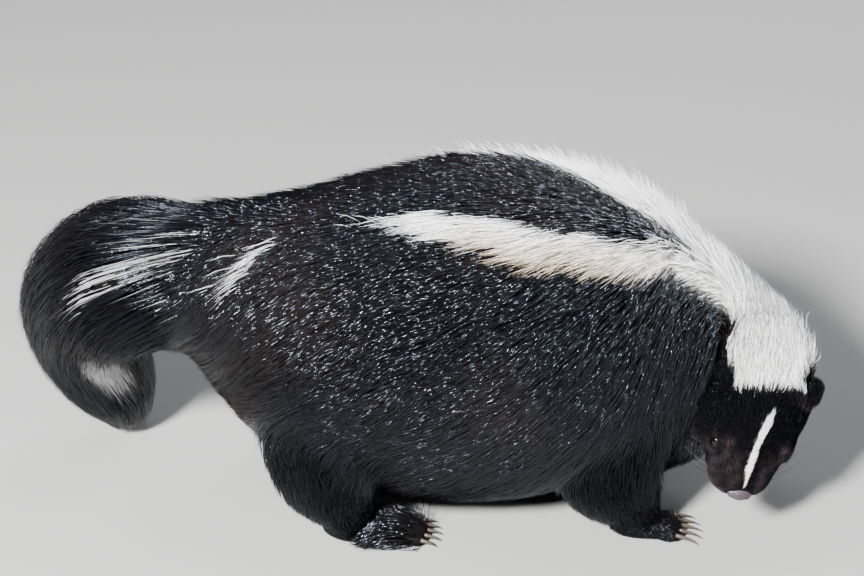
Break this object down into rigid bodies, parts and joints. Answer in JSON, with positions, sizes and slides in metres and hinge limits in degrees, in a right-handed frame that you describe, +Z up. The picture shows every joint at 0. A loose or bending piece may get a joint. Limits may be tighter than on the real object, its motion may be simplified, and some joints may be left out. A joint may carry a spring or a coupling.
{
  "type": "striped skunk",
  "caption": "Life-size striped skunk standing with a humped back, its head turned down to its right and its bushy tail curled down behind it.",
  "frame": {"origin": "middle of the bounding box on the floor, under the belly", "axes": "+X forward along the trunk, towards the shoulders; +Y to the animal's left; +Z up"},
  "size_m": [0.4712, 0.1902, 0.2069],
  "materials": {
    "fur_black": "glossy guard hair",
    "fur_white": "glossy guard hair",
    "nose_skin": "moist, pebbled",
    "eye": "wet gloss",
    "claw": "horn, worn pale at the tip"
  },
  "bodies": {
    "root": {"torso": "fur_black", "neck": "fur_black", "head": "fur_black", "nose": "nose_skin", "eye_left": "eye", "eye_right": "eye", "ear_left": "fur_black", "ear_right": "fur_black", "leg_front_left": "fur_black", "leg_front_right": "fur_black", "leg_hind_left": "fur_black", "leg_hind_right": "fur_black", "tail_base": "fur_black", "tail_middle": "fur_black", "tail_tip": "fur_black"}
  },
  "joints": []
}
